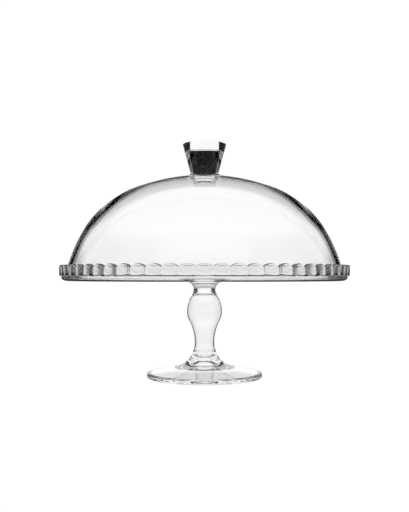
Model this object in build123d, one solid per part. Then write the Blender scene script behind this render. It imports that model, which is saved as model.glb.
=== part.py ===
"""Footed glass cake stand with a lift-off glass dome.

Row frame: millimetres, +Z up, origin at the centre of the foot's resting plane.
Every piece but the plate's fluted rim is round about the Z axis, so each one is
drawn as a (radius, height) outline and turned about Z.
"""
import os
from math import asin, cos, degrees, radians, sin, tan

from build123d import *

# ---------------------------------------------------------------- driving dimensions
# Levels above the table
FOOT_JOINT_Z = 31.0
PLATE_JOINT_Z = 98.5
PLATE_FLOOR_Z = 113.8
RIM_CREST_Z = 125.7
KNOB_TOP_Z = 262.4

# Foot
FOOT_RADIUS = 64.9
FOOT_TOP_SLOPE = 12.0                       # degrees, from the flare out to the edge
FOOT_EDGE_ROUND = 2.0
FOOT_HEEL_ROUND = 1.0
FOOT_RING_WIDTH = 4.5                       # the flat ring that touches the table
FOOT_LIP_ACROSS = 0.8                       # draught and height of that ring's inner wall
FOOT_LIP_HEIGHT = 1.5
CEILING_RADIUS = 33.0                       # the underside follows the top in to here, then is level
PUNT_RADIUS = 12.0                          # small dome pushed up in the middle of the underside
PUNT_RISE = 8.8
FLARE_BREAK = 50.0                          # degrees from vertical where the flare tightens
FLARE_BLEND_RADIUS = 15.0
CUP_FLOOR_Z = 20.0                          # the stem's hollow runs on into a cup in the foot
CUP_CORNER = 5.0

# Stem: a blown, hollow baluster, solid at its neck
NECK_RADIUS = 12.4
SHOULDER_RADIUS = 10.3
SHOULDER_TURN = 38.5                        # degrees from vertical where neck meets bulb
BULB_CURVE = 27.2
BULB_TAIL_TURN = 28.2                       # degrees from vertical where bulb meets taper
TAPER_CURVE = 48.8
WAIST_CURVE = 30.0                          # one curve, from the waist into the foot's flare
STEM_WALL = 1.6
HOLLOW_CORNER = 7.0                         # the hollow's flat top rounds into its side

# Plate
PLATE_RADIUS = 161.0                        # over the crests of the flutes
FLUTE_COUNT = 64
FLUTE_DEPTH = 1.4                           # crest to valley, seen from above
SCALLOP_DEPTH = 2.8                         # crest to valley, seen from the side
RIM_WALL_RADIUS = 156.0                     # inside of the rim where it leaves the floor
RIM_WALL_FLARE = 0.9                        # how much wider that wall is at the crests
RIM_TOP_ROUND = 1.6
RING_RADIUS = 158.8                         # the plain ring that carries the flutes
RING_TOP_DROP = 0.6                         # how far below the floor the flutes start
RIM_HEEL_ROUND = 4.2                        # outer corner between ring and underside
FLOOR_FILLET = 1.4
BOSS_CURVES = ((8.0, -50.0), (16.0, -40.0))  # neck up into the underside: radius, turn
RIM_MARGIN = 0.5                            # the turned rim stands this far outside the flutes
FLUTE_REACH = 6.0                           # each flute is joined to the disc this far inside the rim

# Dome: crown, shoulder and side, then a round lip that rests on the plate's floor
DOME_CURVES = ((208.5, -24.0), (109.5, -34.5), (178.0, -17.6))   # radius, turn
CROWN_WALL = 4.6                            # the wall swells round the shoulder between these two
LIP_WALL = 4.5
INNER_CROWN_CURVE = 199.5
INNER_TURNS = (-23.0, -35.5, -17.6)         # crown, shoulder and side of the inside
DOME_SEAT_GAP = 0.02

# Knob: a solid cone, wide end up, whose narrow end is plugged through the dome
KNOB_RADIUS = 24.85                         # at the sharp corner, before rounding
KNOB_TAPER = 15.3                           # degrees from vertical
KNOB_PLUG_DEPTH = 6.5                       # how far it hangs below the inside of the crown
KNOB_EDGE_ROUND = 0.8

# ---------------------------------------------------------------- derived dimensions
FLUTE_ANGLE = 360.0 / FLUTE_COUNT
HALF_PITCH = PLATE_RADIUS * sin(radians(FLUTE_ANGLE / 2))
FLUTE_CURVE = (HALF_PITCH**2 + FLUTE_DEPTH**2) / (2 * FLUTE_DEPTH)
SCALLOP_CURVE = (HALF_PITCH**2 + SCALLOP_DEPTH**2) / (2 * SCALLOP_DEPTH)


# ---------------------------------------------------------------- drawing helpers
def run(start, heading, *steps):
    """Edges that follow on smoothly from start, as (radius, height) in one plane.

    heading is in degrees, 0 outward and 90 up. A step of one number is a straight of that
    length; a step of two is an arc: its radius, and its turn in degrees, positive to the left.
    """
    edges = []
    for step in steps:
        direction = Vector(cos(radians(heading)), sin(radians(heading)))
        if len(step) == 1:
            edges.append(Line(start, Vector(*start) + direction * step[0]))
        else:
            edges.append(JernArc(start, direction, step[0], step[1]))
            heading += step[1]
        end = edges[-1] @ 1
        start = (end.X, end.Y)
    return edges


def end_of(edges):
    """The last point of a run, as (radius, height)."""
    point = edges[-1] @ 1
    return (point.X, point.Y)


def straights(*points):
    """Straight edges from each point to the next."""
    return [Line(a, b) for a, b in zip(points, points[1:])]


def turn_for(drop, radius):
    """Degrees that an arc starting upright turns while it drops that far."""
    return degrees(asin(drop / radius))


def turned(section, angle=360.0):
    """Solid of revolution about Z from a (radius, height) face."""
    return revolve(Plane.XZ * section, Axis.Z, angle)


# ---------------------------------------------------------------- outlines shared by pieces
def stem_outside():
    """The stem's outside, downwards from the plate joint, and its slope at the foot joint."""
    edges = run((NECK_RADIUS, PLATE_JOINT_Z), -90,
                (SHOULDER_RADIUS, SHOULDER_TURN),
                (BULB_CURVE, -SHOULDER_TURN - BULB_TAIL_TURN),
                (TAPER_CURVE, BULB_TAIL_TURN))
    waist = end_of(edges)
    slope = turn_for(waist[1] - FOOT_JOINT_Z, WAIST_CURVE)
    return edges + run(waist, -90, (WAIST_CURVE, slope)), slope


def stem_hollow():
    """The stem's inside, from the axis at its flat top down to the foot joint."""
    shoulder = run((NECK_RADIUS, PLATE_JOINT_Z), -90, (SHOULDER_RADIUS, SHOULDER_TURN))
    heading = SHOULDER_TURN - 90
    outward = Vector(-sin(radians(heading)), cos(radians(heading)))
    corner_centre = Vector(*end_of(shoulder)) - outward * (STEM_WALL + HOLLOW_CORNER)
    edges = run((0, corner_centre.Y + HOLLOW_CORNER), 0,
                (corner_centre.X,),
                (HOLLOW_CORNER, heading),
                (BULB_CURVE - STEM_WALL, -SHOULDER_TURN - BULB_TAIL_TURN),
                (TAPER_CURVE + STEM_WALL, BULB_TAIL_TURN))
    waist = end_of(edges)
    slope = turn_for(waist[1] - FOOT_JOINT_Z, WAIST_CURVE + STEM_WALL)
    return edges + run(waist, -90, (WAIST_CURVE + STEM_WALL, slope))


def boss_outside():
    """The plate's boss, upwards from the stem joint until it runs into the underside."""
    return run((NECK_RADIUS, PLATE_JOINT_Z), 90, *BOSS_CURVES)


def dome_outside(crown_z):
    """The dome's outside from the crown down, and its half-round lip."""
    side = run((0, crown_z), 0, *DOME_CURVES)
    heading = sum(turn for _, turn in DOME_CURVES)
    return side + run(end_of(side), heading, (LIP_WALL / 2, -180))


def dome_crown_z():
    """Height of the dome's outside on the axis, worked up from its lip on the floor."""
    lip_drop = dome_outside(0)[-1].bounding_box().min.Y
    return PLATE_FLOOR_Z + DOME_SEAT_GAP - lip_drop


def dome_inside(crown_z):
    """The dome's inside from the axis down to its lip.

    The shoulder's and side's radii are the two that bring it to the lip's inner edge.
    """
    lip_edge = dome_outside(crown_z)[-1] @ 1
    headings = [radians(sum(INNER_TURNS[:i])) for i in range(len(INNER_TURNS) + 1)]
    (crown_r, crown_drop), shoulder, side = [
        (sin(a) - sin(b), cos(a) - cos(b)) for a, b in zip(headings, headings[1:])]
    reach = lip_edge.X - INNER_CROWN_CURVE * crown_r
    drop = crown_z - CROWN_WALL - lip_edge.Y - INNER_CROWN_CURVE * crown_drop
    spread = shoulder[0] * side[1] - shoulder[1] * side[0]
    shoulder_curve = (reach * side[1] - drop * side[0]) / spread
    side_curve = (drop * shoulder[0] - reach * shoulder[1]) / spread
    curves = (INNER_CROWN_CURVE, shoulder_curve, side_curve)
    return run((0, crown_z - CROWN_WALL), 0, *zip(curves, INNER_TURNS))


# ---------------------------------------------------------------- stand
def make_foot():
    """Round foot with a flared neck; the stem's hollow ends in a cup inside the neck."""
    outside, slope = stem_outside()
    joint_radius = end_of(outside)[0]
    ring_inner_radius = FOOT_RADIUS - FOOT_RING_WIDTH
    lip_radius = ring_inner_radius - FOOT_LIP_ACROSS
    ceiling_z = FOOT_LIP_HEIGHT + (lip_radius - CEILING_RADIUS) * tan(radians(FOOT_TOP_SLOPE))
    punt_curve = (PUNT_RADIUS**2 + PUNT_RISE**2) / (2 * PUNT_RISE)

    flare = run((joint_radius, FOOT_JOINT_Z), slope - 90,
                (WAIST_CURVE, FLARE_BREAK - slope),
                (FLARE_BLEND_RADIUS, 90 - FOOT_TOP_SLOPE - FLARE_BREAK))
    edge_reach = FOOT_EDGE_ROUND * (1 - sin(radians(FOOT_TOP_SLOPE)))
    top_length = (FOOT_RADIUS - edge_reach - end_of(flare)[0]) / cos(radians(FOOT_TOP_SLOPE))
    top = run(end_of(flare), -FOOT_TOP_SLOPE,
              (top_length,),
              (FOOT_EDGE_ROUND, FOOT_TOP_SLOPE - 90))
    edge = run(end_of(top), -90,
               (end_of(top)[1] - FOOT_HEEL_ROUND,),
               (FOOT_HEEL_ROUND, -90),
               (FOOT_RING_WIDTH - FOOT_HEEL_ROUND,))
    punt = run((0, ceiling_z + PUNT_RISE), 0, (punt_curve, -turn_for(PUNT_RADIUS, punt_curve)))
    underside = straights((PUNT_RADIUS, ceiling_z),
                          (CEILING_RADIUS, ceiling_z),
                          (lip_radius, FOOT_LIP_HEIGHT),
                          (ring_inner_radius, 0))
    cup_radius = end_of(stem_hollow())[0]
    cup = run((0, CUP_FLOOR_Z), 0,
              (cup_radius - CUP_CORNER,),
              (CUP_CORNER, 90),
              (FOOT_JOINT_Z - CUP_FLOOR_Z - CUP_CORNER,))
    closing = (straights((0, ceiling_z + PUNT_RISE), (0, CUP_FLOOR_Z))
               + straights((cup_radius, FOOT_JOINT_Z), (joint_radius, FOOT_JOINT_Z)))
    return turned(make_face(flare + top + edge + underside + punt + cup + closing))


def make_stem():
    """Hollow baluster between the foot's neck and the plate's boss."""
    outside, _ = stem_outside()
    inside = stem_hollow()
    hollow_top = inside[0] @ 0
    closing = (straights((0, hollow_top.Y), (0, PLATE_JOINT_Z), (NECK_RADIUS, PLATE_JOINT_Z))
               + straights(end_of(inside), end_of(outside)))
    return turned(make_face(outside + inside + closing))


def make_disc(join_radius):
    """The plate inside its rim: floor, underside and boss."""
    boss = boss_outside()
    underside_z = end_of(boss)[1]
    ring_z = PLATE_FLOOR_Z - RING_TOP_DROP
    heel = run((RING_RADIUS - RIM_HEEL_ROUND, underside_z), 0, (RIM_HEEL_ROUND, 90))
    closing = (straights((NECK_RADIUS, PLATE_JOINT_Z), (0, PLATE_JOINT_Z), (0, PLATE_FLOOR_Z),
                         (join_radius, PLATE_FLOOR_Z), (join_radius, ring_z),
                         (RING_RADIUS, ring_z), end_of(heel))
               + straights(end_of(boss), heel[0] @ 0))
    return turned(make_face(boss + heel + closing))


def make_flute(join_radius):
    """One flute of the rim, centred on +X: a slice of the turned rim with its own curves."""
    top_z = RIM_CREST_Z + RIM_MARGIN
    outer_radius = PLATE_RADIUS + RIM_MARGIN
    ring_z = PLATE_FLOOR_Z - RING_TOP_DROP
    foot_round = outer_radius - RING_RADIUS
    outside = run((RING_RADIUS, ring_z), 0,
                  (foot_round, 90),
                  (top_z - RIM_TOP_ROUND - foot_round - ring_z,),
                  (RIM_TOP_ROUND, 90))
    floor = run((join_radius, PLATE_FLOOR_Z), 0,
                (RIM_WALL_RADIUS - FLOOR_FILLET - join_radius,),
                (FLOOR_FILLET, 90))
    wall_top = (RIM_WALL_RADIUS + RIM_WALL_FLARE, top_z - RIM_TOP_ROUND)
    inner_round = run(wall_top, 90, (RIM_TOP_ROUND, -90))
    closing = (straights(end_of(floor), wall_top)
               + straights(end_of(inner_round), end_of(outside))
               + straights((join_radius, PLATE_FLOOR_Z), (join_radius, ring_z), (RING_RADIUS, ring_z)))
    section = make_face(outside + floor + inner_round + closing)
    rim_slice = Rot(0, 0, -FLUTE_ANGLE / 2) * turned(section, FLUTE_ANGLE)

    bow = Pos(PLATE_RADIUS - FLUTE_CURVE, 0, top_z / 2) * Cylinder(FLUTE_CURVE, 2 * top_z)
    scallop = (Pos(outer_radius / 2, 0, RIM_CREST_Z - SCALLOP_CURVE) * Rot(0, 90, 0)
               * Cylinder(SCALLOP_CURVE, 2 * outer_radius))
    return rim_slice & bow & scallop


def make_plate():
    """Flat plate with an upright fluted rim and, below, a boss for the stem."""
    join_radius = RIM_WALL_RADIUS - FLUTE_REACH
    flute = make_flute(join_radius)
    flutes = [Rot(0, 0, i * FLUTE_ANGLE) * flute for i in range(FLUTE_COUNT)]
    return make_disc(join_radius).fuse(*flutes).clean()


# ---------------------------------------------------------------- cover
def knob_section():
    """Half section of the knob, with sharp corners."""
    plug_z = dome_crown_z() - CROWN_WALL - KNOB_PLUG_DEPTH
    plug_radius = KNOB_RADIUS - (KNOB_TOP_Z - plug_z) * tan(radians(KNOB_TAPER))
    return make_face(straights((0, plug_z), (plug_radius, plug_z), (KNOB_RADIUS, KNOB_TOP_Z),
                               (0, KNOB_TOP_Z), (0, plug_z)))


def make_knob():
    """Solid tapered knob with a plug that passes through the crown of the dome."""
    knob = turned(knob_section())
    return fillet(knob.edges().filter_by(GeomType.CIRCLE), KNOB_EDGE_ROUND)


def make_dome():
    """Dome with a round lip; a tapered hole in its crown takes the knob."""
    crown_z = dome_crown_z()
    closing = straights((0, crown_z), (0, crown_z - CROWN_WALL))
    wall = make_face(dome_outside(crown_z) + dome_inside(crown_z) + closing)
    return turned(wall - knob_section())


PIECES = {
    "foot": make_foot,
    "stem": make_stem,
    "plate": make_plate,
    "dome": make_dome,
    "knob": make_knob,
}

os.makedirs("parts", exist_ok=True)
for name, make in PIECES.items():
    export_step(make(), f"parts/{name}.step")
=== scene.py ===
from math import asin, cos, degrees, hypot, pi, radians, sin, tan

import bpy
import numpy as np
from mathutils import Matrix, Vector


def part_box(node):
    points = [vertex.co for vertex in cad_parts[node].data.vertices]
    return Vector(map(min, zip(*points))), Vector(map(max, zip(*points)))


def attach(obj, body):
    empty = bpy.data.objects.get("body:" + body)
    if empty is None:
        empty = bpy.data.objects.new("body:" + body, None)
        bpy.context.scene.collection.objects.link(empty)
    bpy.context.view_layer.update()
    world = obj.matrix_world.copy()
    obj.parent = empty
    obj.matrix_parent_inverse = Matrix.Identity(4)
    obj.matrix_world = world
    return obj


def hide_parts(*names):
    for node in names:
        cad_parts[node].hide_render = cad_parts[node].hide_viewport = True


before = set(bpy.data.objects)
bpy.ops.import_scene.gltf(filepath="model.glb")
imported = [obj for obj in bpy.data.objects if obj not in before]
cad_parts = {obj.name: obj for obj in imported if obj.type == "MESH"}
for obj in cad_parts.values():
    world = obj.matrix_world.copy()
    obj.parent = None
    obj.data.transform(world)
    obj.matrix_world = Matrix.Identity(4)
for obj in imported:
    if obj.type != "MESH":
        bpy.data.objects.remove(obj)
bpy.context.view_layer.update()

# Outlines are drawn in millimetres as (radius, height), and become metres when a piece is skinned.
MM = 0.001


# ---------------------------------------------------------------- sizes read from the frame
def low(node):
    """Lowest corner of a CAD node, in millimetres."""
    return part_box(node)[0] / MM


def high(node):
    """Highest corner of a CAD node, in millimetres."""
    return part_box(node)[1] / MM


FOOT_RADIUS = high("foot").x
FOOT_JOINT_Z = high("foot").z
PLATE_JOINT_Z = low("plate").z
PLATE_RADIUS = high("plate").x
RIM_CREST_Z = high("plate").z
DOME_LIP_Z = low("dome").z
KNOB_TOP_Z = high("knob").z
KNOB_PLUG_Z = low("knob").z
KNOB_RADIUS = high("knob").x

# ---------------------------------------------------------------- shape constants (mm, degrees)
FUSED = 0.02                     # hot-joined pieces run into each other by this much
DOME_SEAT_GAP = 0.02
PLATE_FLOOR_Z = DOME_LIP_Z - DOME_SEAT_GAP

FOOT_TOP_SLOPE = 12.0
FOOT_EDGE_ROUND = 2.0
FOOT_HEEL_ROUND = 1.0
FOOT_RING_WIDTH = 4.5            # the ring that touches the table
FOOT_LIP_ACROSS = 0.8            # draught and height of that ring's inner wall
FOOT_LIP_HEIGHT = 1.5
CEILING_RADIUS = 33.0            # the underside follows the top in to here, then is level
PUNT_RADIUS = 12.0               # small dome pushed up in the middle of the underside
PUNT_RISE = 8.8
FLARE_BREAK = 50.0
FLARE_BLEND_RADIUS = 15.0
CUP_FLOOR_Z = 20.0               # the stem's hollow runs on into a cup in the foot
CUP_CORNER = 5.0

NECK_RADIUS = 12.4
SHOULDER_RADIUS = 10.3
SHOULDER_TURN = 38.5
BULB_CURVE = 27.2
BULB_TAIL_TURN = 28.2
TAPER_CURVE = 48.8
WAIST_CURVE = 30.0
STEM_WALL = 1.6
HOLLOW_CORNER = 7.0              # the hollow's flat top rounds into its side

FLUTE_COUNT = 64
FLUTE_DEPTH = 1.4                # crest to valley, seen from above
SCALLOP_DEPTH = 2.8              # crest to valley, seen from the side
RIM_WALL_RADIUS = 156.0
RIM_WALL_FLARE = 0.9
RIM_HEEL_ROUND = 4.2
RING_RADIUS = 158.8              # the plain ring under the flutes
RING_TOP_DROP = 0.6              # the ring ends this far below the floor
FLUTE_FOOT_ROUND = 2.7           # height of the rounding where a flute stands on the ring
RIM_TOP_OUTER = (1.2, 1.5)       # rounding of the rim's outer top edge: across, up
RIM_TOP_INNER = 0.6
FLOOR_FILLET = 1.4
BOSS_CURVES = ((8.0, -50.0), (16.0, -40.0))

DOME_CURVES = ((208.5, -24.0), (109.5, -34.5), (178.0, -17.6))
CROWN_WALL = 4.6                 # the wall swells round the shoulder between these two
LIP_WALL = 4.5
INNER_CROWN_CURVE = 199.5
INNER_TURNS = (-23.0, -35.5, -17.6)
KNOB_TAPER = 15.3
KNOB_EDGE_ROUND = 0.8
KNOB_CORNER_REACH = 0.24         # a sharp top edge would stand this far outside the rounded one

# How finely outlines and turned pieces are drawn
STRAIGHT_STEP = 8.0              # mm between the points of a straight
ARC_STEP = 2.5                   # mm between the points of an arc, at most
ARC_STEP_TURN = 4.0              # degrees between the points of an arc, at most
FOOT_SPOKES = 256
STEM_SPOKES = 192
FLUTE_SPOKES = 14                # for each flute
DOME_SPOKES = 288
KNOB_SPOKES = 192


# ---------------------------------------------------------------- outline drawing
def straight(start, end, count=None):
    """Points from start to end."""
    if count is None:
        count = 2 + int(hypot(end[0] - start[0], end[1] - start[1]) / STRAIGHT_STEP)
    t = np.linspace(0, 1, count)[:, None]
    return np.array(start) * (1 - t) + np.array(end) * t


def ellipse(centre, across, up, first, last, count):
    """Points on an ellipse about centre, between two angles in degrees."""
    t = np.radians(np.linspace(first, last, count))
    return np.stack([centre[0] + across * np.cos(t), centre[1] + up * np.sin(t)], 1)


def arc(start, heading, radius, turn):
    """Points on an arc that leaves start along heading and turns left by turn degrees."""
    count = 3 + int(max(abs(turn) / ARC_STEP_TURN, radius * radians(abs(turn)) / ARC_STEP))
    side = 1 if turn > 0 else -1
    centre = (start[0] - side * radius * sin(radians(heading)),
              start[1] + side * radius * cos(radians(heading)))
    first = heading - side * 90
    return ellipse(centre, radius, radius, first, first + turn, count)


def run(start, heading, *steps):
    """Runs of points that follow on smoothly: (length,) is a straight, (radius, turn) an arc."""
    runs = []
    for step in steps:
        if len(step) == 1:
            aim = radians(heading)
            end = (start[0] + step[0] * cos(aim), start[1] + step[0] * sin(aim))
            runs.append(straight(start, end))
        else:
            runs.append(arc(start, heading, *step))
            heading += step[1]
        start = runs[-1][-1]
    return runs


def backwards(runs):
    """The same runs, travelled from the last point to the first."""
    return [points[::-1] for points in reversed(runs)]


def end_of(runs):
    """The last point of some runs."""
    return runs[-1][-1]


def turn_for(drop, radius):
    """Degrees that an arc starting upright turns while it drops that far."""
    return degrees(asin(drop / radius))


# ---------------------------------------------------------------- skinning
def spun(runs, count):
    """The same section at count angles about Z."""
    return [np.repeat(points[None], count, 0) for points in runs]


def skin(name, sections, body, slot, node):
    """Makes a piece that stands for a CAD node, and rides on body.

    sections are runs of (angle, point, (radius, height)), each starting where the one before
    ended, with the glass on the left. The outline may jump along Z, and closes on itself unless
    both its ends lie on Z. Corner normals come from the curves themselves, so curved glass
    refracts without facets.
    """
    count = len(sections[0])
    angle = np.arange(count) * 2 * pi / count
    outward = np.stack([np.cos(angle), np.sin(angle), 0 * angle], 1)[:, None]
    up = np.array([0.0, 0.0, 1.0])
    first_point = sections[0][:, 0]
    end_before = None
    verts, rings, quads, quad_normals = [], [], [], []

    def add_ring(places):
        start = sum(len(v) for v in verts)
        if np.abs(places[:, :2]).max() < 1e-9:
            verts.append(places[:1])
            return np.full(count, start)
        verts.append(places)
        return start + np.arange(count)

    for points in sections:
        places = (outward * points[..., :1] + up * points[..., 1:]) * MM
        slope = np.gradient(points, axis=1, edge_order=min(2, points.shape[1] - 1))
        along = outward * slope[..., :1] + up * slope[..., 1:]
        around = np.roll(places, -1, 0) - np.roll(places, 1, 0)
        at_axis = np.linalg.norm(around, axis=2, keepdims=True) < 1e-9
        around = np.where(at_axis, np.cross(up, outward), around)
        normals = np.cross(around, along)
        normals /= np.linalg.norm(normals, axis=2, keepdims=True)
        if end_before is None or not np.allclose(points[:, 0], end_before, atol=1e-3):
            rings.append(add_ring(places[:, 0]))
        end_before = points[:, -1]
        for k in range(1, points.shape[1]):
            closes = points is sections[-1] and k == points.shape[1] - 1 and np.allclose(
                points[:, k], first_point, atol=1e-3)
            rings.append(rings[0] if closes else add_ring(places[:, k]))
            a, b = rings[-2], rings[-1]
            quads.append(np.stack([a, np.roll(a, -1), np.roll(b, -1), b], 1))
            before, after = normals[:, k - 1], normals[:, k]
            quad_normals.append(np.stack([before, np.roll(before, -1, 0),
                                          np.roll(after, -1, 0), after], 1))

    faces, corner_normals = [], []
    all_normals = np.concatenate(quad_normals).tolist()
    for quad, four in zip(np.concatenate(quads).tolist(), all_normals):
        kept = [i for i in range(4) if quad[i] != quad[i - 1]]
        faces.append([quad[i] for i in kept])
        corner_normals.extend(four[i] for i in kept)
    mesh = bpy.data.meshes.new(name)
    mesh.from_pydata(np.concatenate(verts).tolist(), [], faces)
    mesh.shade_smooth()
    mesh.normals_split_custom_set(corner_normals)
    piece = bpy.data.objects.new(name, mesh)
    bpy.context.scene.collection.objects.link(piece)
    piece.data.materials.append(MATERIALS[slot])
    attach(piece, body)
    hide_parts(node)


# ---------------------------------------------------------------- glass
GLASS_IOR = 1.52
CLEAREST = (0.985, 0.985, 0.985, 1)
CORD_SCALE = 150.0               # noise scales, per metre
HAZE_SCALE = 45.0
CORD_SHALLOWER = 40              # the cords are this many times shallower than the waves
HAZE_STARTS = 0.45               # level of the haze noise where the glass is no longer quite smooth
HAZE_FULL = 0.75                 # and where it reaches this roughness
HAZE_ROUGHNESS = 0.02


def node_of(tree, kind, inputs=None, **settings):
    """A new shader node with its settings and inputs; an input may be a value or a socket."""
    node = tree.nodes.new(kind)
    for key, value in settings.items():
        setattr(node, key, value)
    for key, value in (inputs or {}).items():
        if isinstance(value, bpy.types.NodeSocket):
            tree.links.new(value, node.inputs[key])
        else:
            node.inputs[key].default_value = value
    return node


def glass(name, tint, wave_size, wave_depth, cord_stretch):
    """Clear soda-lime glass: faint tint shifts, slow waves, fine cords and a breath of haze.

    wave_size is the length of the slow waves in metres and wave_depth their height; the cords
    are fine streaks drawn out along Z by cord_stretch.
    """
    material = bpy.data.materials.new(name)
    material.use_nodes = True
    tree = material.node_tree
    tree.nodes.clear()
    place = node_of(tree, "ShaderNodeTexCoord").outputs["Object"]

    waves = node_of(tree, "ShaderNodeTexNoise",
                    {"Vector": place, "Scale": 1 / wave_size, "Detail": 1.0})
    drawn = node_of(tree, "ShaderNodeMapping", {"Vector": place, "Scale": (1, 1, 1 / cord_stretch)})
    cords = node_of(tree, "ShaderNodeTexNoise",
                    {"Vector": drawn.outputs["Vector"], "Scale": CORD_SCALE, "Detail": 2.0})
    haze = node_of(tree, "ShaderNodeTexNoise",
                   {"Vector": place, "Scale": HAZE_SCALE, "Detail": 4.0})

    ripple = node_of(tree, "ShaderNodeBump",
                     {"Height": waves.outputs["Fac"], "Distance": wave_depth, "Strength": 1.0})
    fine = node_of(tree, "ShaderNodeBump",
                   {"Height": cords.outputs["Fac"], "Distance": wave_depth / CORD_SHALLOWER,
                    "Strength": 1.0, "Normal": ripple.outputs["Normal"]})
    colour = node_of(tree, "ShaderNodeMix",
                     {"Factor": haze.outputs["Fac"], "A": (*tint, 1), "B": CLEAREST},
                     data_type="RGBA")
    rough = node_of(tree, "ShaderNodeMapRange",
                    {"Value": haze.outputs["Fac"], "From Min": HAZE_STARTS, "From Max": HAZE_FULL,
                     "To Min": 0.0, "To Max": HAZE_ROUGHNESS})
    surface = node_of(tree, "ShaderNodeBsdfPrincipled",
                      {"Base Color": colour.outputs["Result"], "Roughness": rough.outputs["Result"],
                       "IOR": GLASS_IOR, "Transmission Weight": 1.0,
                       "Normal": fine.outputs["Normal"]})
    node_of(tree, "ShaderNodeOutputMaterial", {"Surface": surface.outputs["BSDF"]})
    return material


MATERIALS = {
    "stand_glass": glass("pressed_stand_glass", (0.975, 0.985, 0.98), 0.045, 0.00001, 2.0),
    "dome_glass": glass("blown_dome_glass", (0.975, 0.983, 0.98), 0.070, 0.000005, 6.0),
    "knob_glass": glass("solid_knob_glass", (0.975, 0.983, 0.98), 0.030, 0.00001, 3.0),
}


# ---------------------------------------------------------------- stand
def stem_outside():
    """The stem's outside down from the plate joint, and its slope at the foot joint."""
    runs = run((NECK_RADIUS, PLATE_JOINT_Z), -90,
               (SHOULDER_RADIUS, SHOULDER_TURN),
               (BULB_CURVE, -SHOULDER_TURN - BULB_TAIL_TURN),
               (TAPER_CURVE, BULB_TAIL_TURN))
    slope = turn_for(end_of(runs)[1] - FOOT_JOINT_Z, WAIST_CURVE)
    return runs + run(end_of(runs), -90, (WAIST_CURVE, slope)), slope


def stem_hollow():
    """The stem's inside, an even wall in from the outside: its flat top, down to the foot joint."""
    shoulder = run((NECK_RADIUS, PLATE_JOINT_Z), -90, (SHOULDER_RADIUS, SHOULDER_TURN))
    heading = SHOULDER_TURN - 90
    outward = np.array([-sin(radians(heading)), cos(radians(heading))])
    side_start = end_of(shoulder) - STEM_WALL * outward
    ceiling = side_start + HOLLOW_CORNER * (np.array([0, 1]) - outward)
    runs = run((0, ceiling[1]), 0,
               (ceiling[0],),
               (HOLLOW_CORNER, heading),
               (BULB_CURVE - STEM_WALL, -SHOULDER_TURN - BULB_TAIL_TURN),
               (TAPER_CURVE + STEM_WALL, BULB_TAIL_TURN))
    slope = turn_for(end_of(runs)[1] - FOOT_JOINT_Z, WAIST_CURVE + STEM_WALL)
    return runs + run(end_of(runs), -90, (WAIST_CURVE + STEM_WALL, slope))


def build_foot():
    """Foot with its flared neck, from the axis out along the underside and back over the top."""
    ring_inner = FOOT_RADIUS - FOOT_RING_WIDTH
    lip_radius = ring_inner - FOOT_LIP_ACROSS
    ceiling_z = FOOT_LIP_HEIGHT + (lip_radius - CEILING_RADIUS) * tan(radians(FOOT_TOP_SLOPE))
    punt_curve = (PUNT_RADIUS**2 + PUNT_RISE**2) / (2 * PUNT_RISE)
    outside, slope = stem_outside()
    flare = run(end_of(outside), slope - 90,
                (WAIST_CURVE, FLARE_BREAK - slope),
                (FLARE_BLEND_RADIUS, 90 - FOOT_TOP_SLOPE - FLARE_BREAK))
    edge_reach = FOOT_EDGE_ROUND * (1 - sin(radians(FOOT_TOP_SLOPE)))
    top_length = (FOOT_RADIUS - edge_reach - end_of(flare)[0]) / cos(radians(FOOT_TOP_SLOPE))
    top = run(end_of(flare), -FOOT_TOP_SLOPE,
              (top_length,),
              (FOOT_EDGE_ROUND, FOOT_TOP_SLOPE - 90))
    edge = run(end_of(top), -90,
               (end_of(top)[1] - FOOT_HEEL_ROUND,),
               (FOOT_HEEL_ROUND, -90),
               (FOOT_RING_WIDTH - FOOT_HEEL_ROUND,))
    punt = run((0, ceiling_z + PUNT_RISE), 0, (punt_curve, -turn_for(PUNT_RADIUS, punt_curve)))
    underside = [straight(end_of(punt), (CEILING_RADIUS, ceiling_z)),
                 straight((CEILING_RADIUS, ceiling_z), (lip_radius, FOOT_LIP_HEIGHT)),
                 straight((lip_radius, FOOT_LIP_HEIGHT), (ring_inner, 0))]
    cup = run((0, CUP_FLOOR_Z), 0,
              (end_of(stem_hollow())[0] - CUP_CORNER,),
              (CUP_CORNER, 90),
              (FOOT_JOINT_Z - CUP_FLOOR_Z - CUP_CORNER,))
    joint = [straight(flare[0][0], end_of(cup))]
    outline = punt + underside + backwards(flare + top + edge) + joint + backwards(cup)
    skin("foot_glass", spun(outline, FOOT_SPOKES), "stand", "stand_glass", "foot")


def build_stem():
    """Hollow baluster; it runs a hair into the plate's boss and the foot's neck."""
    outside, _ = stem_outside()
    inside = stem_hollow()
    bottom = FOOT_JOINT_Z - FUSED
    top = PLATE_JOINT_Z + FUSED
    outline = ([straight((end_of(inside)[0], bottom), (end_of(outside)[0], bottom)),
                straight((end_of(outside)[0], bottom), end_of(outside))]
               + backwards(outside)
               + [straight((NECK_RADIUS, PLATE_JOINT_Z), (NECK_RADIUS, top)),
                  straight((NECK_RADIUS, top), (0, top))]
               + inside
               + [straight(end_of(inside), (end_of(inside)[0], bottom))])
    skin("stem_glass", spun(outline, STEM_SPOKES), "stand", "stand_glass", "stem")


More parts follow.
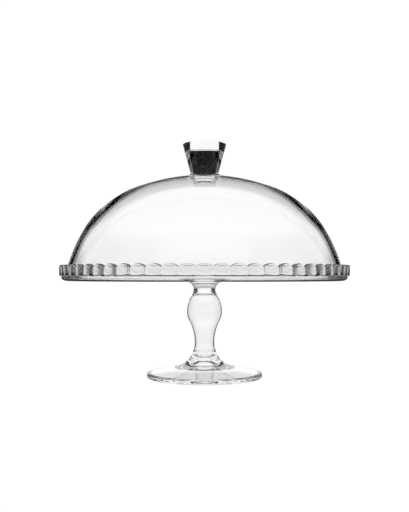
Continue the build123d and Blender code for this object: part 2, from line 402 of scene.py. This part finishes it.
def build_plate():
    """Flat plate with a boss below and an upright rim of convex flutes with a scalloped top.

    share runs from -1 to 1 across each flute, and fall is how far the flute has fallen there
    from its crest, 0 to 1.
    """
    count = FLUTE_COUNT * FLUTE_SPOKES
    half = FLUTE_SPOKES / 2
    share = (np.arange(count) + half) % FLUTE_SPOKES / half - 1
    fall = (share**2)[:, None]

    boss = run((NECK_RADIUS, PLATE_JOINT_Z), 90, *BOSS_CURVES)
    under_z = end_of(boss)[1]
    joint = [straight((0, PLATE_JOINT_Z), (NECK_RADIUS, PLATE_JOINT_Z), 4)]
    ring_z = PLATE_FLOOR_Z - RING_TOP_DROP
    heel_start = (RING_RADIUS - RIM_HEEL_ROUND, under_z)
    ring = run(heel_start, 0, (RIM_HEEL_ROUND, 90), (ring_z - under_z - RIM_HEEL_ROUND,))
    underside = [straight(end_of(boss), heel_start, 24)]
    before_rim = spun(joint + boss + underside + ring, count)

    outer = PLATE_RADIUS - FLUTE_DEPTH * fall
    inner = RIM_WALL_RADIUS + RIM_WALL_FLARE
    crest = RIM_CREST_Z - SCALLOP_DEPTH * fall
    across, up = RIM_TOP_OUTER
    t = np.linspace(0, 1, 9)[None]
    a = np.radians(np.linspace(0, 90, 13))[None]
    flute_foot = np.stack([RING_RADIUS + (outer - RING_RADIUS) * np.sin(a),
                           ring_z + FLUTE_FOOT_ROUND * (1 - np.cos(a)) + 0 * outer], 2)
    wall_z = ring_z + FLUTE_FOOT_ROUND + (crest - up - ring_z - FLUTE_FOOT_ROUND) * t
    wall = np.stack([outer + 0 * wall_z, wall_z], 2)
    top_out = np.stack([outer - across * (1 - np.cos(a)), crest - up * (1 - np.sin(a))], 2)
    flat = np.stack([outer - across + (inner + RIM_TOP_INNER - outer + across) * t,
                     crest + 0 * t], 2)
    top_in = np.stack([inner + RIM_TOP_INNER * (1 - np.sin(a)) + 0 * outer,
                       crest - RIM_TOP_INNER * (1 - np.cos(a))], 2)
    inner_start_z = crest - RIM_TOP_INNER
    inner_end = (RIM_WALL_RADIUS, PLATE_FLOOR_Z + FLOOR_FILLET)
    inside = np.stack([inner + (inner_end[0] - inner) * t + 0 * inner_start_z,
                       inner_start_z + (inner_end[1] - inner_start_z) * t], 2)
    floor = [ellipse((RIM_WALL_RADIUS - FLOOR_FILLET, PLATE_FLOOR_Z + FLOOR_FILLET),
                     FLOOR_FILLET, FLOOR_FILLET, 0, -90, 9),
             straight((RIM_WALL_RADIUS - FLOOR_FILLET, PLATE_FLOOR_Z), (0, PLATE_FLOOR_Z), 24)]
    sections = before_rim + [flute_foot, wall, top_out, flat, top_in, inside] + spun(floor, count)
    skin("plate_glass", sections, "stand", "stand_glass", "plate")


# ---------------------------------------------------------------- cover
def inner_curves(outer_end):
    """Curves of the dome's inside; the last two are sized to bring it to the lip's inner edge."""
    headings = np.radians(np.cumsum((0,) + INNER_TURNS))
    lean = -headings[-1]
    end = np.array(outer_end) - LIP_WALL * np.array([sin(lean), cos(lean)]) + (0, CROWN_WALL)
    unit = -np.stack([np.diff(np.sin(headings)), -np.diff(np.cos(headings))], 1)
    others = np.linalg.solve(unit[1:].T, end - INNER_CROWN_CURVE * unit[0])
    return list(zip((INNER_CROWN_CURVE, *others), INNER_TURNS))


def build_dome():
    """Dome with a half-round lip and a tapered hole for the knob's plug."""
    side = run((0, 0), 0, *DOME_CURVES)
    heading = sum(turn for _, turn in DOME_CURVES)
    lip = run(end_of(side), heading, (LIP_WALL / 2, -180))
    crown_z = DOME_LIP_Z - lip[0][:, 1].min()
    hole = [radius_of_cone(crown_z) - FUSED, radius_of_cone(crown_z - CROWN_WALL) - FUSED]
    outside = from_radius(run((0, crown_z), 0, *DOME_CURVES), hole[0])
    inside = from_radius(run((0, crown_z - CROWN_WALL), 0, *inner_curves(end_of(side))), hole[1])
    lip = run(end_of(outside), heading, (LIP_WALL / 2, -180))
    hole_wall = [straight(outside[0][0], inside[0][0])]
    outline = inside + backwards(lip) + backwards(outside) + hole_wall
    skin("dome_glass", spun(outline, DOME_SPOKES), "cover", "dome_glass", "dome")


def radius_of_cone(z):
    """Radius of the knob's tapered side at a height."""
    return KNOB_RADIUS + KNOB_CORNER_REACH - (KNOB_TOP_Z - z) * tan(radians(KNOB_TAPER))


def from_radius(runs, radius):
    """The runs without the part nearer the axis than radius."""
    nearest = 0.5                # mm, the least that the next point lies beyond the new start
    first = runs[0]
    start = np.array([radius, np.interp(radius, first[:, 0], first[:, 1])])
    return [np.vstack([start, first[first[:, 0] > radius + nearest]])] + runs[1:]


def build_knob():
    """Solid tapered knob whose narrow end is plugged through the dome."""
    low_turn = 90 - KNOB_TAPER
    high_turn = 90 + KNOB_TAPER
    reach_low = KNOB_EDGE_ROUND * tan(radians(low_turn / 2))
    reach_high = KNOB_EDGE_ROUND * tan(radians(high_turn / 2))
    side_length = (KNOB_TOP_Z - KNOB_PLUG_Z) / cos(radians(KNOB_TAPER))
    outline = run((0, KNOB_PLUG_Z), 0,
                  (radius_of_cone(KNOB_PLUG_Z) - reach_low,),
                  (KNOB_EDGE_ROUND, low_turn),
                  (side_length - reach_low - reach_high,),
                  (KNOB_EDGE_ROUND, high_turn))
    outline += [straight(end_of(outline), (0, KNOB_TOP_Z), 6)]
    skin("knob_glass", spun(outline, KNOB_SPOKES), "cover", "knob_glass", "knob")


build_foot()
build_stem()
build_plate()
build_dome()
build_knob()


# ---------------------------------------------------------------- studio
CAMERA_DISTANCE = 0.791
FOCAL_LENGTH = 49.2
HORIZON_SHIFT = 0.039            # the lens is shifted up, so uprights stay upright

STUDIO_CENTRE = Vector((0, 0, 0.13))
STUDIO_RADIUS = 0.82
SHELL_ROWS = 48
SHELL_COLUMNS = 96
WHITE = 1.04                     # the backdrop just reaches full white

# Where each light of the shell fades in, in shares of its radius, and how bright it gets
SCREEN_EDGE = (29.5, 31.5)       # degrees off the view axis, where the backdrop ends
OVERHEAD_RISE = (0.40, 0.60)
OVERHEAD_AHEAD = (0.45, 0.35)
OVERHEAD_LEVEL = 0.80
FRONT_AHEAD = (-0.1, -0.6)
FRONT_LEVEL = 0.35
WINGS_ASIDE = (0.62, 0.72)
WINGS_RISE = (0.20, 0.35)
WINGS_LEVEL = 0.6

# The table: metres from the middle, and levels of its glow, which is painted light
TABLE_REACH = 6.0
TABLE_DROP = 0.0003              # it lies this far below the foot
# painted shade: the table glows only faintly to either side and in front
TABLE_DARK = 0.1                 # to either side and in front
STRIP_SPREAD = 0.4               # half width of the bright strip behind, for each metre back
STRIP_FADE = 0.05
STRIP_START = 0.02
# painted light under the foot, held below full white as painted contact shade of the glass foot
UNDER_FOOT = (0.07, 0.09)        # the table below the foot is brighter, and fades out here
UNDER_LEVEL = 0.6
# painted light: the whole table glows brighter as the camera looks down
FROM_ABOVE = (0.10, 0.40)        # sine of how steeply the camera looks down
FROM_ABOVE_LEVEL = 0.85

BOUNCES = 32
GLOSSY_BOUNCES = 16


def build_camera():
    """Level camera at the height of the plate's floor, looking along +Y."""
    data = bpy.data.cameras.new("camera")
    data.lens = FOCAL_LENGTH
    data.shift_y = HORIZON_SHIFT
    camera = bpy.data.objects.new("camera", data)
    camera.location = (0, -CAMERA_DISTANCE, PLATE_FLOOR_Z * MM)
    camera.rotation_euler = (pi / 2, 0, 0)
    bpy.context.scene.collection.objects.link(camera)
    bpy.context.scene.camera = camera


def maths(tree, operation, *values):
    """A maths node's result."""
    return node_of(tree, "ShaderNodeMath", dict(enumerate(values)), operation=operation).outputs[0]


def ramp(tree, value, start, end, at_start, at_end):
    """A smooth step from at_start to at_end while value goes from start to end."""
    return node_of(tree, "ShaderNodeMapRange",
                   {"Value": value, "From Min": start, "From Max": end,
                    "To Min": at_start, "To Max": at_end},
                   interpolation_type="SMOOTHSTEP").outputs["Result"]


def seen_from_camera(tree):
    """Where a shaded point lies from the studio's centre: right, up and ahead of the camera."""
    place = node_of(tree, "ShaderNodeNewGeometry").outputs["Position"]
    offset = node_of(tree, "ShaderNodeVectorMath", {0: place, 1: STUDIO_CENTRE},
                     operation="SUBTRACT")
    turned = node_of(tree, "ShaderNodeVectorTransform", {"Vector": offset.outputs["Vector"]},
                     vector_type="VECTOR", convert_from="WORLD", convert_to="CAMERA")
    return node_of(tree, "ShaderNodeSeparateXYZ", {"Vector": turned.outputs["Vector"]}).outputs


def looking_down(tree):
    """How steeply the camera looks down: 0 when it is level and 1 when it looks straight down."""
    upright = node_of(tree, "ShaderNodeVectorTransform", {"Vector": (0, 0, 1)},
                      vector_type="VECTOR", convert_from="WORLD", convert_to="CAMERA")
    parts = node_of(tree, "ShaderNodeSeparateXYZ", {"Vector": upright.outputs["Vector"]}).outputs
    return maths(tree, "ABSOLUTE", parts["Z"])


def plain_to_camera(tree, level):
    """The level for light that meets the glass, and plain white for the picture's background."""
    direct = node_of(tree, "ShaderNodeLightPath").outputs["Is Camera Ray"]
    return node_of(tree, "ShaderNodeMix", {"Factor": direct, "A": level, "B": WHITE},
                   data_type="FLOAT").outputs["Result"]


def glow(tree, level):
    """White emission at the given level."""
    light = node_of(tree, "ShaderNodeEmission", {"Color": (1, 1, 1, 1), "Strength": level})
    return light.outputs["Emission"]


def new_tree(name):
    """An empty node material and its tree."""
    material = bpy.data.materials.new(name)
    material.use_nodes = True
    material.node_tree.nodes.clear()
    return material, material.node_tree


def stage_piece(name, verts, faces, material):
    """A mesh for the studio, linked to the scene and not attached to any body of the object."""
    mesh = bpy.data.meshes.new(name)
    mesh.from_pydata(verts, [], faces)
    mesh.materials.append(material)
    piece = bpy.data.objects.new(name, mesh)
    bpy.context.scene.collection.objects.link(piece)


def build_shell():
    """Round studio: a white backdrop behind the glass, and soft light overhead, aside and in front.

    The dark surround of the backdrop is what draws the dark lines along the edges of clear
    glass. The shell is seen only from inside, so the camera may stand outside it.
    """
    material, tree = new_tree("studio_shell")
    right, up, ahead = seen_from_camera(tree)[:3]
    forward = maths(tree, "DIVIDE", ahead, STUDIO_RADIUS)
    upward = maths(tree, "DIVIDE", up, STUDIO_RADIUS)
    screen = ramp(tree, forward, cos(radians(SCREEN_EDGE[0])), cos(radians(SCREEN_EDGE[1])),
                  WHITE, 0)
    overhead = maths(tree, "MULTIPLY",
                     ramp(tree, upward, *OVERHEAD_RISE, 0, OVERHEAD_LEVEL),
                     ramp(tree, forward, *OVERHEAD_AHEAD, 0, 1))
    front = ramp(tree, forward, *FRONT_AHEAD, 0, FRONT_LEVEL)
    aside = maths(tree, "DIVIDE", maths(tree, "ABSOLUTE", right), STUDIO_RADIUS)
    wings = maths(tree, "MULTIPLY",
                  ramp(tree, aside, *WINGS_ASIDE, 0, WINGS_LEVEL),
                  ramp(tree, upward, *WINGS_RISE, 0, 1))
    level = screen
    for part in (overhead, front, wings):
        level = maths(tree, "MAXIMUM", level, part)
    inside = glow(tree, plain_to_camera(tree, level))
    clear = node_of(tree, "ShaderNodeBsdfTransparent")
    outside = node_of(tree, "ShaderNodeNewGeometry").outputs["Backfacing"]
    mix = node_of(tree, "ShaderNodeMixShader", {0: outside, 1: inside, 2: clear.outputs["BSDF"]})
    node_of(tree, "ShaderNodeOutputMaterial", {"Surface": mix.outputs["Shader"]})

    verts, faces = [], []
    for i in range(SHELL_ROWS + 1):
        for j in range(SHELL_COLUMNS):
            tilt, turn = pi * i / SHELL_ROWS, 2 * pi * j / SHELL_COLUMNS
            spot = Vector((sin(tilt) * cos(turn), sin(tilt) * sin(turn), cos(tilt)))
            verts.append(STUDIO_CENTRE + spot * STUDIO_RADIUS)
    for i in range(SHELL_ROWS):
        for j in range(SHELL_COLUMNS):
            a = i * SHELL_COLUMNS + j
            b = i * SHELL_COLUMNS + (j + 1) % SHELL_COLUMNS
            faces.append((a, b, b + SHELL_COLUMNS, a + SHELL_COLUMNS))
    stage_piece("studio_shell", verts, faces, material)


def build_floor():
    """Glowing table of painted light, bright behind the glass and falling off to painted shade in
    front and beside it.

    Seen from above it is evenly bright, because there it is all that lies behind the glass.
    """
    material, tree = new_tree("table_painted_light")
    right, up, ahead = seen_from_camera(tree)[:3]
    aside = maths(tree, "ABSOLUTE", right)
    beside = maths(tree, "SUBTRACT", aside, maths(tree, "MULTIPLY", ahead, STRIP_SPREAD))
    across = maths(tree, "SQRT", maths(tree, "ADD", maths(tree, "MULTIPLY", right, right),
                                       maths(tree, "MULTIPLY", ahead, ahead)))
    strip = maths(tree, "MULTIPLY",
                  # painted light: a white strip behind the glass, with painted shade to either side
                  # of it
                  ramp(tree, beside, 0, STRIP_FADE, WHITE, TABLE_DARK),
                  ramp(tree, ahead, 0, STRIP_START, 0, 1))
    # painted pool of light under the foot, held below full white as painted contact shade
    under = ramp(tree, across, *UNDER_FOOT, UNDER_LEVEL, TABLE_DARK)
    # painted light that brightens the whole table as the camera looks down
    from_above = ramp(tree, looking_down(tree), *FROM_ABOVE, 0, FROM_ABOVE_LEVEL)
    level = maths(tree, "MAXIMUM", maths(tree, "MAXIMUM", strip, under), from_above)
    node_of(tree, "ShaderNodeOutputMaterial",
            {"Surface": glow(tree, plain_to_camera(tree, level))})
    corners = [(x * TABLE_REACH, y * TABLE_REACH, -TABLE_DROP)
               for x, y in ((-1, -1), (1, -1), (1, 1), (-1, 1))]
    stage_piece("table", corners, [(0, 1, 2, 3)], material)


def set_picture():
    """Plain colours and enough bounces for light to cross every wall of the glass."""
    scene = bpy.context.scene
    scene.world = bpy.data.worlds.new("room")
    scene.view_settings.view_transform = "Standard"
    scene.cycles.max_bounces = BOUNCES
    scene.cycles.transmission_bounces = BOUNCES
    scene.cycles.glossy_bounces = GLOSSY_BOUNCES


build_camera()
build_shell()
build_floor()
set_picture()
